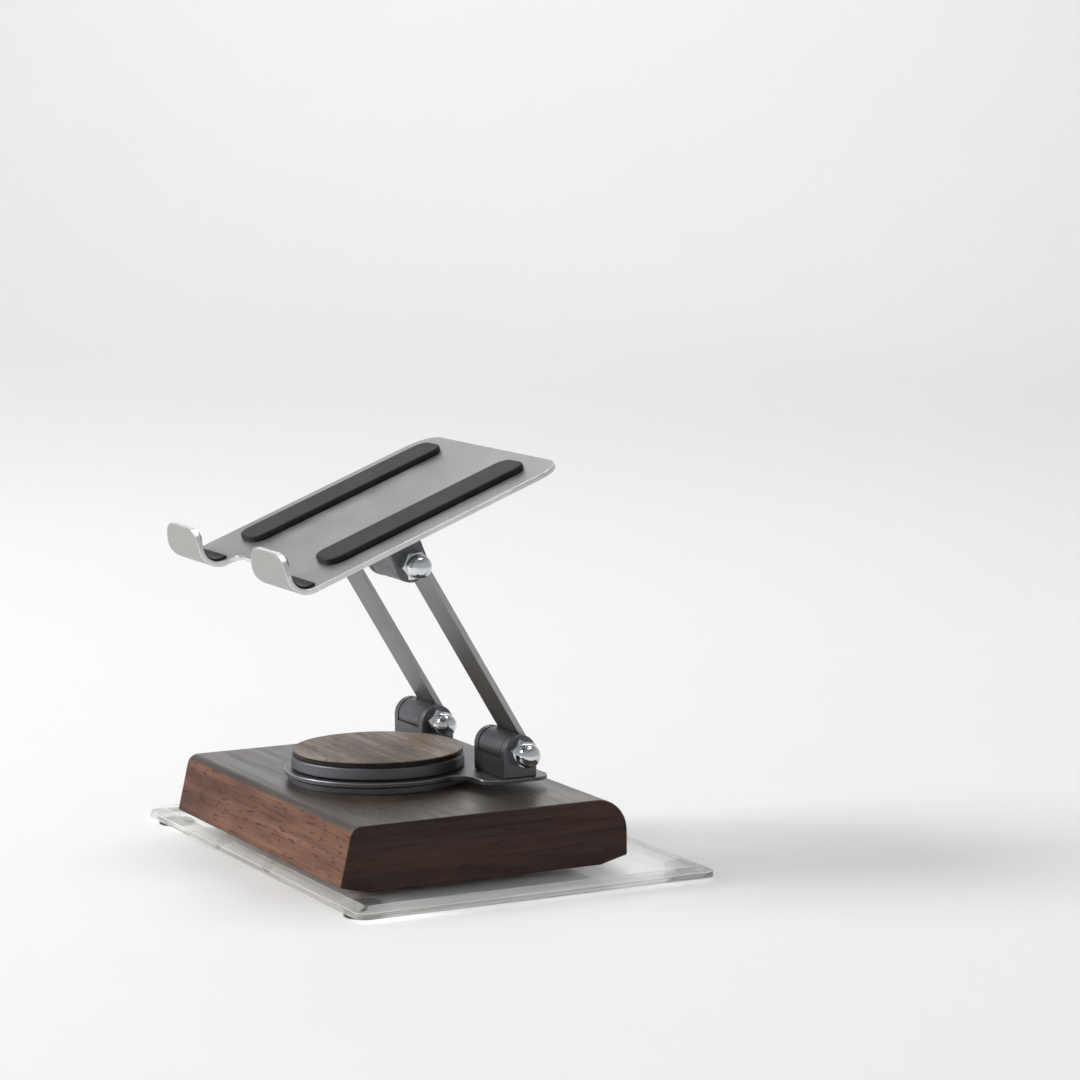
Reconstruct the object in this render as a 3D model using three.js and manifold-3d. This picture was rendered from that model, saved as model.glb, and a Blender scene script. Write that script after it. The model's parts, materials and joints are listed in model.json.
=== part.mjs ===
// Tablet stand: a walnut block on a clear plate carries a swivel, two hinged arms and a hooked holder.
// Units are millimetres. X runs to the user's right, Y away from the user, Z up from the table.
// It is modelled about the swivel axis and moved at the end so that the origin is the middle of its
// footprint, on the table.
import * as THREE from 'three';
import { mergeVertices } from 'three/addons/utils/BufferGeometryUtils.js';
import Module from 'manifold-3d';

const wasm = await Module();
wasm.setup();

// ---- driving dimensions --------------------------------------------------------------------

const FOOT = { radius: 5, height: 1, chamfer: 0.3, insetX: 9.8, insetY: 5.4 };
const CLEAR_PLATE = { width: 151, depth: 104.5, thickness: 3, bevelRun: 3.2, bevelDrop: 1.3, corner: 3.5 };
const CLEAR_PLATE_CENTRE = { x: -2.5, y: 13.6 };
const BOND_FILM = { width: 104, depth: 60, thickness: 0.2 };

const BLOCK = {
  width: 115, height: 17.7, frontY: -36.9, backY: 46.9, frontLean: 3.7, frontRadius: 3.2,
  backRadius: 9, undercutRun: 8, undercutRise: 2, endRadius: 1.4,
};

const LOWER_DISC = { radius: 24.8, thickness: 1.8, chamfer: 0.3 };
const DISC_SCREW = {
  count: 3, ring: 17, headRadius: 2.9, headDepth: 1.5, shankRadius: 1.4, length: 13, tip: 2.5,
};
const THRUST_WASHER = { radius: 23.8, thickness: 0.3 };
const SWIVEL_PLATE = {
  radius: 25.8, thickness: 1.2, tailHalfWidth: 35.7, tailFrontY: 15.5, tailBackY: 35.7,
  waistRadius: 4, cornerRadius: 4.5,
};
const TAPE_RING = { inner: 7.7, outer: 23.1, thickness: 0.45 };
const CAP_RING = { inner: 7.6, outer: 23.8, thickness: 3.2, chamfer: 0.4 };
const INLAY = { radius: 23.4, thickness: 1.6, chamfer: 0.25 };

const PIVOT_BOLT = {
  radius: 3, headRadius: 5.5, headHeight: 3.6, washerRadius: 6.6, washerThickness: 1, sunk: 0.6, proud: 0.1,
  pointChamfer: 0.5, pocketRadius: 7.2,
};
const PIVOT_NUT = { acrossFlats: 10, height: 2.4 };
const SLIDE_WASHER = { radius: 6.8, thickness: 0.5 };
const DISC_SPRING = { radius: 6.2, sheet: 0.35, cone: 0.15 };

const LUG = {
  width: 19.1, depth: 9.7, pinHeight: 6.94, slotWidth: 14.1, floor: 1.9, eyeGap: 0.3, spacing: 52.3,
};
const LUG_Y = 26.1;
const LUG_SCREW = { headRadius: 2.6, shankRadius: 1.4, offset: 3.6, end: 1.7, holeDepth: 6 };
const HINGE_BOLT = { radius: 2, headRadius: 3.8, headHeight: 2.2, nutEngagement: 4.2 };
const ACORN_NUT = { acrossFlats: 7, hexHeight: 3.2, domeRadius: 3.25, height: 8, boreDepth: 5 };
const FRICTION_WASHER = { radius: 4.3, thickness: 0.4 };

const ARM = { length: 62, width: 13, eyeRadius: 4.75, thickness: 1.5, lean: 30.5 };

const HOLDER = {
  tilt: 21.3, halfWidth: 42.3, sheet: 1.4, lowEdge: 7.5, highEdge: 82, pinAlong: 33.8,
  cornerRadius: 8, notchRadius: 3,
};
const HOOK = {
  width: 23.6, spacing: 61, lipOutside: -2.2, bendRadius: 6, lipLean: 12, lipTop: 2.3, lipCorner: 5.5,
};
const HOOK_PAD = { width: 20, thickness: 0.6, start: 1.5, top: 1 };
const FACE_PAD = { width: 13, thickness: 1.8, low: 14, high: 76, corner: 4 };
const TABLET_THICKNESS = 7;

const BOLT_CLEARANCE = 0.07;
const SCREW_CLEARANCE = 0.1;
const HOLE_CLEARANCE = 0.2;
const FACE_GAP = 0.02;
const HEAD_GAP = 0.05;
const RUN_OUT = 1;

// ---- heights worked out from them ----------------------------------------------------------

const clearPlateZ = FOOT.height;
const bondZ = clearPlateZ + CLEAR_PLATE.thickness;
const blockZ = bondZ + BOND_FILM.thickness;
const lowerDiscZ = blockZ + BLOCK.height;
const thrustWasherZ = lowerDiscZ + LOWER_DISC.thickness;
const swivelPlateZ = thrustWasherZ + THRUST_WASHER.thickness;
const swivelTopZ = swivelPlateZ + SWIVEL_PLATE.thickness;
const capRingZ = swivelTopZ + TAPE_RING.thickness;
const inlayZ = capRingZ + CAP_RING.thickness;
const discSpringZ = swivelTopZ + SLIDE_WASHER.thickness;
const pivotNutZ = discSpringZ + DISC_SPRING.cone + DISC_SPRING.sheet;
const pivotBoltTopZ = pivotNutZ + PIVOT_NUT.height + PIVOT_BOLT.proud;
const pivotHeadZ = blockZ + PIVOT_BOLT.sunk;
const pivotPocketDepth = PIVOT_BOLT.sunk + PIVOT_BOLT.headHeight + PIVOT_BOLT.washerThickness;
const pinZ = swivelTopZ + LUG.pinHeight;

// ---- materials -----------------------------------------------------------------------------

const material = (color, roughness, metalness, extra = {}) =>
  new THREE.MeshStandardMaterial({ color, roughness, metalness, ...extra });

const MATERIALS = {
  acrylic: material(0xe9f0ee, 0.05, 0, { transparent: true, opacity: 0.35 }),
  rubber: material(0x161616, 0.85, 0),
  walnut: material(0x7a5646, 0.55, 0),
  walnutInlay: material(0x8b7462, 0.55, 0),
  darkMetal: material(0x5f6167, 0.4, 0.9),
  armMetal: material(0x787876, 0.4, 0.9),
  holderMetal: material(0xbebebc, 0.4, 0.9),
  chrome: material(0xd8dcdf, 0.08, 1),
  steel: material(0x9a9a9a, 0.35, 1),
  nylon: material(0x2a2a2a, 0.6, 0),
};

// ---- solids --------------------------------------------------------------------------------

// A closed geometry as a manifold solid; triangles that collapse to a line are dropped first.
function toSolid(geometry) {
  const bare = geometry.clone();
  bare.deleteAttribute('normal');
  bare.deleteAttribute('uv');
  const merged = mergeVertices(bare, 1e-4);
  const index = Array.from(merged.index.array);
  const triVerts = [];
  for (let i = 0; i < index.length; i += 3) {
    const [a, b, c] = index.slice(i, i + 3);
    if (a !== b && b !== c && c !== a) triVerts.push(a, b, c);
  }
  const vertProperties = new Float32Array(merged.attributes.position.array);
  const mesh = new wasm.Mesh({ numProp: 3, vertProperties, triVerts: new Uint32Array(triVerts) });
  return new wasm.Manifold(mesh);
}

function toGeometry(solid) {
  const mesh = solid.getMesh();
  const geometry = new THREE.BufferGeometry();
  geometry.setAttribute('position', new THREE.BufferAttribute(new Float32Array(mesh.vertProperties), 3));
  geometry.setIndex(Array.from(mesh.triVerts));
  geometry.computeVertexNormals();
  return geometry;
}

// Cuts every tool geometry out of a body geometry.
function cut(body, tools) {
  let solid = toSolid(body);
  for (const tool of tools) solid = solid.subtract(toSolid(tool));
  return toGeometry(solid);
}

function join(bodies) {
  let solid = toSolid(bodies[0]);
  for (const body of bodies.slice(1)) solid = solid.add(toSolid(body));
  return toGeometry(solid);
}

// A turned piece on the Z axis; points are [radius, height], outside face running upwards.
function turned(points, segments = 32) {
  const profile = points.map(([radius, height]) => new THREE.Vector2(radius, height));
  return toGeometry(toSolid(new THREE.LatheGeometry(profile, segments).rotateX(Math.PI / 2)));
}

function rod(radius, z0, z1, segments = 16) {
  const geometry = new THREE.CylinderGeometry(radius, radius, z1 - z0, segments);
  return geometry.rotateX(Math.PI / 2).translate(0, 0, (z0 + z1) / 2);
}

function ring(inner, outer, height, segments = 32) {
  return turned([[inner, 0], [outer, 0], [outer, height], [inner, height], [inner, 0]], segments);
}

// A chamfered ring whose top outside edge is broken by a chamfer.
function chamferedRing({ inner, outer, thickness, chamfer }, segments = 40) {
  const top = thickness;
  return turned([
    [inner, 0], [outer, 0], [outer, top - chamfer], [outer - chamfer, top], [inner, top], [inner, 0],
  ], segments);
}

function hexPrism(acrossFlats, height) {
  const corner = acrossFlats / Math.sqrt(3);
  const prism = new THREE.CylinderGeometry(corner, corner, height, 6);
  return prism.rotateX(Math.PI / 2).translate(0, 0, height / 2);
}

// A countersunk screw standing on its tip: the head's flat top is at z = 0 and the tip points down.
function countersunk({ headRadius, headDepth, shankRadius, length, tip }, grow = 0) {
  const shank = shankRadius + grow;
  return turned([
    [0, -length - grow], [tip ? 0.3 : shank, -length - grow], [shank, -length + (tip ?? 0)],
    [shank, -headDepth], [headRadius + grow, 0], [0, 0],
  ], 12);
}

// Extrudes an outline drawn in Y and Z along X, centred on X = 0.
function alongX(shape, width, options = {}) {
  const bevel = options.bevelThickness ?? 0;
  const geometry = new THREE.ExtrudeGeometry(shape, {
    depth: width - 2 * bevel, bevelEnabled: bevel > 0, curveSegments: 6, ...options,
  });
  geometry.translate(0, 0, bevel - width / 2);
  const axes = new THREE.Matrix4().makeBasis(
    new THREE.Vector3(0, 1, 0), new THREE.Vector3(0, 0, 1), new THREE.Vector3(1, 0, 0));
  return geometry.applyMatrix4(axes);
}

// Turns a piece made on the Z axis so that its Z axis points along +X.
const layAlongX = (geometry) => geometry.rotateY(Math.PI / 2);

function roundedRectangle(x0, y0, x1, y1, radius) {
  const shape = new THREE.Shape();
  shape.moveTo(x0 + radius, y0);
  shape.absarc(x1 - radius, y0 + radius, radius, -Math.PI / 2, 0);
  shape.absarc(x1 - radius, y1 - radius, radius, 0, Math.PI / 2);
  shape.absarc(x0 + radius, y1 - radius, radius, Math.PI / 2, Math.PI);
  shape.absarc(x0 + radius, y0 + radius, radius, Math.PI, 1.5 * Math.PI);
  return shape;
}

function slab(shape, z0, z1, curveSegments = 6) {
  const geometry = new THREE.ExtrudeGeometry(shape, { depth: z1 - z0, bevelEnabled: false, curveSegments });
  return geometry.translate(0, 0, z0);
}

function addPart(parent, name, geometry, look, position = [0, 0, 0]) {
  const mesh = new THREE.Mesh(geometry, look);
  mesh.name = name;
  mesh.position.set(...position);
  parent.add(mesh);
  return mesh;
}

// ---- base ----------------------------------------------------------------------------------

// A clear plate with a wide polished bevel all round its top face.
function clearPlateGeometry() {
  const { width, depth, thickness, bevelRun, bevelDrop, corner } = CLEAR_PLATE;
  const outline = (inset) => roundedRectangle(
    -width / 2 + inset, -depth / 2 + inset, width / 2 - inset, depth / 2 - inset, corner).getPoints(3);
  const levels = [[outline(0), 0], [outline(0), thickness - bevelDrop], [outline(bevelRun), thickness]];
  const count = levels[0][0].length;
  const vertices = levels.flatMap(([points, z]) => points.flatMap((point) => [point.x, point.y, z]));
  const faces = [];
  for (let level = 0; level < levels.length - 1; level++) {
    for (let i = 0; i < count; i++) {
      const low = level * count;
      const next = (i + 1) % count;
      faces.push(low + i, low + next, low + count + next, low + i, low + count + next, low + count + i);
    }
  }
  const top = (levels.length - 1) * count;
  for (let i = 1; i < count - 1; i++) {
    faces.push(0, i + 1, i, top, top + i, top + i + 1);
  }
  const geometry = new THREE.BufferGeometry();
  geometry.setAttribute('position', new THREE.Float32BufferAttribute(vertices, 3));
  geometry.setIndex(faces);
  return toGeometry(toSolid(geometry));
}

// The block's end outline: leaning front, big rear round-over, front and rear edges undercut.
function blockOutline() {
  const { height, frontY, backY, frontLean, frontRadius, backRadius, undercutRun, undercutRise } = BLOCK;
  const lean = Math.atan2(frontLean, height - undercutRise);
  const shape = new THREE.Shape();
  shape.moveTo(frontY + undercutRun, 0);
  shape.lineTo(backY - undercutRun, 0);
  shape.lineTo(backY, undercutRise);
  shape.absarc(backY - backRadius, height - backRadius, backRadius, 0, Math.PI / 2);
  const cornerY = frontY + frontLean + frontRadius * Math.tan((Math.PI / 2 - lean) / 2);
  shape.absarc(cornerY, height - frontRadius, frontRadius, Math.PI / 2, Math.PI - lean);
  shape.lineTo(frontY, undercutRise);
  return shape;
}

function screwSpots() {
  return Array.from({ length: DISC_SCREW.count }, (_, i) => {
    const angle = ((i + 0.5) / DISC_SCREW.count) * 2 * Math.PI;
    return [DISC_SCREW.ring * Math.cos(angle), DISC_SCREW.ring * Math.sin(angle)];
  });
}

function blockGeometry() {
  const edge = BLOCK.endRadius;
  const body = alongX(blockOutline(), BLOCK.width, {
    bevelThickness: edge, bevelSize: edge, bevelOffset: -edge, bevelSegments: 2,
  });
  const hole = rod(PIVOT_BOLT.radius + HOLE_CLEARANCE, -RUN_OUT, BLOCK.height + RUN_OUT);
  const headPocket = rod(PIVOT_BOLT.pocketRadius, -RUN_OUT, pivotPocketDepth);
  const screwHoles = screwSpots().map(([x, y]) =>
    countersunk(DISC_SCREW, SCREW_CLEARANCE).translate(x, y, BLOCK.height + LOWER_DISC.thickness));
  return cut(body, [hole, headPocket, ...screwHoles]);
}

function lowerDiscGeometry() {
  const { radius, thickness, chamfer } = LOWER_DISC;
  const inner = PIVOT_BOLT.radius + HOLE_CLEARANCE;
  const disc = chamferedRing({ inner, outer: radius, thickness, chamfer });
  const sinks = screwSpots().map(([x, y]) =>
    countersunk({ ...DISC_SCREW, headDepth: DISC_SCREW.headDepth + SCREW_CLEARANCE }, SCREW_CLEARANCE)
      .translate(x, y, thickness + HEAD_GAP));
  return cut(disc, sinks);
}

function pivotBoltGeometry() {
  const { radius, headRadius, headHeight, pointChamfer } = PIVOT_BOLT;
  const length = pivotBoltTopZ - pivotHeadZ;
  return turned([
    [0, 0], [headRadius, 0], [headRadius, headHeight], [radius, headHeight],
    [radius, length - pointChamfer], [radius - pointChamfer, length], [0, length],
  ], 20);
}

function footGeometry() {
  const { radius, height, chamfer } = FOOT;
  return turned([[0, 0], [radius - chamfer, 0], [radius, chamfer], [radius, height], [0, height]], 20);
}

function discSpringGeometry(bore) {
  const { radius, sheet, cone } = DISC_SPRING;
  return turned([[bore, cone], [radius, 0], [radius, sheet], [bore, cone + sheet], [bore, cone]], 20);
}

function pivotNutGeometry(bore) {
  const nut = hexPrism(PIVOT_NUT.acrossFlats, PIVOT_NUT.height);
  return cut(nut, [rod(bore, -RUN_OUT, PIVOT_NUT.height + RUN_OUT)]);
}

function buildBase(parent) {
  const { x, y } = CLEAR_PLATE_CENTRE;
  addPart(parent, 'clear_base_plate', clearPlateGeometry(), MATERIALS.acrylic, [x, y, clearPlateZ]);
  for (const [side, sx] of [['left', -1], ['right', 1]]) {
    for (const [end, sy] of [['front', -1], ['back', 1]]) {
      const footX = x + sx * (CLEAR_PLATE.width / 2 - FOOT.insetX);
      const footY = y + sy * (CLEAR_PLATE.depth / 2 - FOOT.insetY);
      addPart(parent, `foot_${end}_${side}`, footGeometry(), MATERIALS.rubber, [footX, footY, 0]);
    }
  }
  const filmY = (BLOCK.frontY + BLOCK.backY) / 2;
  const film = new THREE.BoxGeometry(BOND_FILM.width, BOND_FILM.depth, BOND_FILM.thickness);
  addPart(parent, 'bond_film', film, MATERIALS.acrylic, [0, filmY, bondZ + BOND_FILM.thickness / 2]);
  addPart(parent, 'walnut_block', blockGeometry(), MATERIALS.walnut, [0, 0, blockZ]);

  addPart(parent, 'pivot_bolt', pivotBoltGeometry(), MATERIALS.steel, [0, 0, pivotHeadZ]);
  const bore = PIVOT_BOLT.radius + SCREW_CLEARANCE;
  const headWasher = ring(bore, PIVOT_BOLT.washerRadius, PIVOT_BOLT.washerThickness, 20);
  addPart(parent, 'pivot_bolt_washer', headWasher, MATERIALS.steel,
    [0, 0, pivotHeadZ + PIVOT_BOLT.headHeight]);
  addPart(parent, 'lower_disc', lowerDiscGeometry(), MATERIALS.darkMetal, [0, 0, lowerDiscZ]);
  screwSpots().forEach(([sx, sy], i) => {
    addPart(parent, `disc_screw_${i + 1}`, countersunk(DISC_SCREW), MATERIALS.steel,
      [sx, sy, thrustWasherZ - HEAD_GAP]);
  });
  const thrustWasher = ring(bore, THRUST_WASHER.radius, THRUST_WASHER.thickness, 32);
  addPart(parent, 'lower_thrust_washer', thrustWasher, MATERIALS.nylon, [0, 0, thrustWasherZ]);
  const slideWasher = ring(bore, SLIDE_WASHER.radius, SLIDE_WASHER.thickness, 20);
  addPart(parent, 'upper_thrust_washer', slideWasher, MATERIALS.nylon, [0, 0, swivelTopZ]);
  addPart(parent, 'disc_spring', discSpringGeometry(bore), MATERIALS.steel, [0, 0, discSpringZ]);
  addPart(parent, 'pivot_nut', pivotNutGeometry(bore), MATERIALS.steel, [0, 0, pivotNutZ]);
}

// ---- hinges --------------------------------------------------------------------------------

const lugScrew = {
  headRadius: LUG_SCREW.headRadius,
  headDepth: SWIVEL_PLATE.thickness - SCREW_CLEARANCE,
  shankRadius: LUG_SCREW.shankRadius,
};

// A clevis lug standing on z = 0, with its pin along X at pinHeight and a round top. Its front wall wraps
// round the arm's eye; behind the pin it is open, so that the arm can lie back.
function lugGeometry() {
  const radius = LUG.depth / 2;
  const outline = new THREE.Shape();
  outline.moveTo(-radius, 0);
  outline.lineTo(radius, 0);
  outline.absarc(0, LUG.pinHeight, radius, 0, Math.PI);
  const eyePocket = layAlongX(rod(ARM.eyeRadius + LUG.eyeGap, -LUG.slotWidth / 2, LUG.slotWidth / 2, 40));
  eyePocket.translate(0, 0, LUG.pinHeight);
  const topSlot = slotBox(-radius - RUN_OUT, LUG.pinHeight);
  const rearSlot = slotBox(0, LUG.floor);
  const bore = layAlongX(rod(HINGE_BOLT.radius + BOLT_CLEARANCE, -LUG.width, LUG.width));
  bore.translate(0, 0, LUG.pinHeight);
  const screwHoles = [-1, 1].map((side) =>
    rod(LUG_SCREW.shankRadius + SCREW_CLEARANCE, -RUN_OUT, LUG.floor + RUN_OUT, 10)
      .translate(side * LUG_SCREW.offset, 0, 0));
  const tools = [eyePocket, topSlot, rearSlot, bore, ...screwHoles];
  return cut(alongX(outline, LUG.width, { curveSegments: 12 }), tools);
}

// A box as wide as the lug's slot that opens backwards from frontY and upwards from z.
function slotBox(frontY, z) {
  const backY = LUG.depth / 2 + RUN_OUT;
  const height = LUG.pinHeight + LUG.depth;
  const box = new THREE.BoxGeometry(LUG.slotWidth, backY - frontY, height);
  return box.translate(0, (frontY + backY) / 2, z + height / 2);
}

// Points [radius, rise] of a dome's profile, from its rim up to its crown.
function quarterArc(radius, rise, steps = 3) {
  return Array.from({ length: steps + 1 }, (_, i) => {
    const angle = (i / steps) * (Math.PI / 2);
    return [i === steps ? 0 : radius * Math.cos(angle), rise * Math.sin(angle)];
  });
}

// A button-head hinge bolt along X: the head is outside the lug's left ear.
function hingeBoltGeometry() {
  const { radius, headRadius, headHeight, nutEngagement } = HINGE_BOLT;
  const end = LUG.width / 2 + nutEngagement;
  const face = -LUG.width / 2;
  const head = quarterArc(headRadius, headHeight).map(([r, rise]) => [r, face - rise]).reverse();
  return layAlongX(turned([...head, [radius, face], [radius, end], [0, end]], 16));
}

// A domed cap nut along X, seated on x = 0.
function acornNutGeometry() {
  const { acrossFlats, hexHeight, domeRadius, height, boreDepth } = ACORN_NUT;
  const cap = quarterArc(domeRadius, domeRadius).map(([r, rise]) => [r, height - domeRadius + rise]);
  const dome = turned([[0, 0], [domeRadius, 0], ...cap], 12);
  const bore = rod(HINGE_BOLT.radius + BOLT_CLEARANCE, -RUN_OUT, boreDepth);
  return layAlongX(cut(join([hexPrism(acrossFlats, hexHeight), dome]), [bore]));
}

// One clevis with its screws, bolt, nut and friction washers, in a frame whose z = 0 is the lug's seat.
// plateThickness is how far below the seat the screw heads sit; turn is the lug's angle on its seat.
function buildLug(parent, prefix, side, plateThickness, turn = 0) {
  addPart(parent, `${prefix}_lug_${side}`, lugGeometry().rotateZ(turn), MATERIALS.darkMetal);
  [-1, 1].forEach((sx, i) => {
    const screw = countersunk({ ...lugScrew, length: plateThickness + LUG_SCREW.end }).rotateX(Math.PI);
    addPart(parent, `${prefix}_lug_screw_${side}_${i + 1}`, screw, MATERIALS.steel,
      [sx * LUG_SCREW.offset, 0, HEAD_GAP - plateThickness]);
  });
  const pin = [0, 0, LUG.pinHeight];
  addPart(parent, `${prefix}_hinge_bolt_${side}`, hingeBoltGeometry(), MATERIALS.steel, pin);
  addPart(parent, `${prefix}_acorn_nut_${side}`, acornNutGeometry(), MATERIALS.chrome,
    [LUG.width / 2, 0, LUG.pinHeight]);
  const gap = (LUG.slotWidth - ARM.width) / 2;
  const centre = ARM.width / 2 + gap / 2;
  [-1, 1].forEach((sx, i) => {
    const washer = layAlongX(ring(HINGE_BOLT.radius + BOLT_CLEARANCE, FRICTION_WASHER.radius,
      FRICTION_WASHER.thickness, 16));
    washer.translate(sx * centre - FRICTION_WASHER.thickness / 2, 0, 0);
    addPart(parent, `${prefix}_friction_washer_${side}_${i + 1}`, washer, MATERIALS.nylon, pin);
  });
}

const SIDES = [['left', -1], ['right', 1]];

function lugFrame(parent, x, y, z, flip = false) {
  const frame = new THREE.Group();
  frame.position.set(x, y, z);
  if (flip) frame.rotation.x = Math.PI;
  parent.add(frame);
  return frame;
}

// Holes for the two countersunk screws of a lug, cut from the far face of the plate it sits on.
function lugScrewHoles(x, y, z, down) {
  return [-1, 1].map((sx) => {
    const tool = countersunk({ ...lugScrew, length: LUG_SCREW.holeDepth }, SCREW_CLEARANCE);
    if (down) tool.rotateX(Math.PI);
    return tool.translate(x + sx * LUG_SCREW.offset, y, z);
  });
}

// ---- swivel --------------------------------------------------------------------------------

// A disc that widens behind into a tail for the two lugs.
function swivelPlateOutline() {
  const { radius, tailHalfWidth, tailFrontY, tailBackY, waistRadius, cornerRadius } = SWIVEL_PLATE;
  const waistY = tailFrontY - waistRadius;
  const waistX = Math.sqrt((radius + waistRadius) ** 2 - waistY ** 2);
  const waistAngle = Math.atan2(waistY, waistX);
  const cornerX = tailHalfWidth - cornerRadius;
  const quarter = Math.PI / 2;
  const shape = new THREE.Shape();
  shape.absarc(0, 0, radius, Math.PI - waistAngle, 2 * Math.PI + waistAngle);
  shape.absarc(waistX, waistY, waistRadius, waistAngle - Math.PI, -3 * quarter, true);
  shape.absarc(cornerX, tailFrontY + cornerRadius, cornerRadius, -quarter, 0);
  shape.absarc(cornerX, tailBackY - cornerRadius, cornerRadius, 0, quarter);
  shape.absarc(-cornerX, tailBackY - cornerRadius, cornerRadius, quarter, Math.PI);
  shape.absarc(-cornerX, tailFrontY + cornerRadius, cornerRadius, Math.PI, 3 * quarter);
  shape.absarc(-waistX, waistY, waistRadius, quarter, -waistAngle, true);
  return shape;
}

function swivelPlateGeometry() {
  const plate = slab(swivelPlateOutline(), 0, SWIVEL_PLATE.thickness, 12);
  const bore = rod(PIVOT_BOLT.radius + BOLT_CLEARANCE, -RUN_OUT, SWIVEL_PLATE.thickness + RUN_OUT, 20);
  const holes = SIDES.flatMap(([, sx]) => lugScrewHoles(sx * LUG.spacing / 2, LUG_Y, 0, true));
  return cut(plate, [bore, ...holes]);
}

function buildSwivel(parent) {
  addPart(parent, 'swivel_plate', swivelPlateGeometry(), MATERIALS.darkMetal, [0, 0, swivelPlateZ]);
  addPart(parent, 'cap_tape_ring', ring(TAPE_RING.inner, TAPE_RING.outer, TAPE_RING.thickness, 32),
    MATERIALS.nylon, [0, 0, swivelTopZ]);
  addPart(parent, 'cap_ring', chamferedRing(CAP_RING), MATERIALS.darkMetal, [0, 0, capRingZ]);
  const { radius, thickness, chamfer } = INLAY;
  const inlay = turned([
    [0, 0], [radius, 0], [radius, thickness - chamfer], [radius - chamfer, thickness], [0, thickness],
  ], 40);
  addPart(parent, 'walnut_inlay', inlay, MATERIALS.walnutInlay, [0, 0, inlayZ]);
  for (const [side, sx] of SIDES) {
    const frame = lugFrame(parent, sx * LUG.spacing / 2, LUG_Y, swivelTopZ);
    buildLug(frame, 'base', side, SWIVEL_PLATE.thickness);
  }
}

// ---- arms ----------------------------------------------------------------------------------

// A flat bar with a round eye at each end; the bar leaves both eyes along their rear tangent.
function armGeometry() {
  const { length, eyeRadius, thickness, width } = ARM;
  const front = eyeRadius - thickness;
  const bite = Math.acos(front / eyeRadius);
  const shape = new THREE.Shape();
  shape.absarc(0, 0, eyeRadius, bite, 2 * Math.PI);
  shape.absarc(0, length, eyeRadius, 0, 2 * Math.PI - bite);
  for (const z of [0, length]) {
    const hole = new THREE.Path();
    hole.absarc(0, z, HINGE_BOLT.radius + BOLT_CLEARANCE, 0, 2 * Math.PI, true);
    shape.holes.push(hole);
  }
  return toGeometry(toSolid(alongX(shape, width, { curveSegments: 12 })));
}

function buildArms(parent) {
  const frame = new THREE.Group();
  frame.position.set(0, LUG_Y, pinZ);
  frame.rotation.x = THREE.MathUtils.degToRad(ARM.lean);
  parent.add(frame);
  for (const [side, sx] of SIDES) {
    addPart(frame, `arm_${side}`, armGeometry(), MATERIALS.armMetal, [sx * LUG.spacing / 2, 0, 0]);
  }
}

// ---- holder --------------------------------------------------------------------------------

// The holder's frame has its origin on the upper pin. Along the slope, position 0 of the tablet's
// lower edge is at y = -pinAlong; the plate's back face is at z = pinHeight.
const slope = (along) => along - HOLDER.pinAlong;
const holderBackZ = LUG.pinHeight;
const holderFaceZ = holderBackZ + HOLDER.sheet;
const tabletBackZ = holderFaceZ + FACE_PAD.thickness;
const tabletFrontZ = tabletBackZ + TABLET_THICKNESS;
const lipTopZ = tabletFrontZ + HOOK.lipTop;
const lipLean = THREE.MathUtils.degToRad(HOOK.lipLean);

// The plate's outline: rounded upper corners and a notch between the two hook tabs.
function holderOutline() {
  const { halfWidth, lowEdge, highEdge, cornerRadius, notchRadius } = HOLDER;
  const tabEnd = slope(HOOK.lipOutside + HOOK.bendRadius);
  const tabInner = HOOK.spacing / 2 - HOOK.width / 2;
  const low = slope(lowEdge);
  const high = slope(highEdge);
  const shape = new THREE.Shape();
  shape.moveTo(halfWidth, tabEnd);
  shape.lineTo(halfWidth, high - cornerRadius);
  shape.absarc(halfWidth - cornerRadius, high - cornerRadius, cornerRadius, 0, Math.PI / 2);
  shape.absarc(-halfWidth + cornerRadius, high - cornerRadius, cornerRadius, Math.PI / 2, Math.PI);
  shape.lineTo(-halfWidth, tabEnd);
  shape.lineTo(-tabInner, tabEnd);
  shape.absarc(-tabInner + notchRadius, low, notchRadius, Math.PI, Math.PI / 2, true);
  shape.absarc(tabInner - notchRadius, low, notchRadius, Math.PI / 2, 0, true);
  shape.lineTo(tabInner, tabEnd);
  return shape;
}

// The bent strip of a hook, between two radii about the centre of its bend: from the plate round under
// the tablet's edge, past upright, and straight on up the leaning lip to the height topZ.
function hookStrip(inner, outer, startY, topZ) {
  const centreY = slope(HOOK.lipOutside + HOOK.bendRadius);
  const centreZ = holderBackZ + HOOK.bendRadius;
  const bendEnd = Math.PI - lipLean;
  const lipPoint = (radius, z) => {
    const rise = z - centreZ - radius * Math.sin(bendEnd);
    return [centreY + radius * Math.cos(bendEnd) + rise * Math.tan(lipLean), z];
  };
  const lipEndZ = (radius) => topZ - (radius - inner) * Math.sin(lipLean);
  const shape = new THREE.Shape();
  shape.moveTo(startY, centreZ - inner);
  shape.lineTo(centreY, centreZ - inner);
  shape.absarc(centreY, centreZ, inner, 1.5 * Math.PI, bendEnd, true);
  shape.lineTo(...lipPoint(inner, lipEndZ(inner)));
  shape.lineTo(...lipPoint(outer, topZ + (outer - inner) * Math.sin(lipLean)));
  shape.absarc(centreY, centreZ, outer, bendEnd, 1.5 * Math.PI);
  shape.lineTo(startY, centreZ - outer);
  return shape;
}

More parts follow.
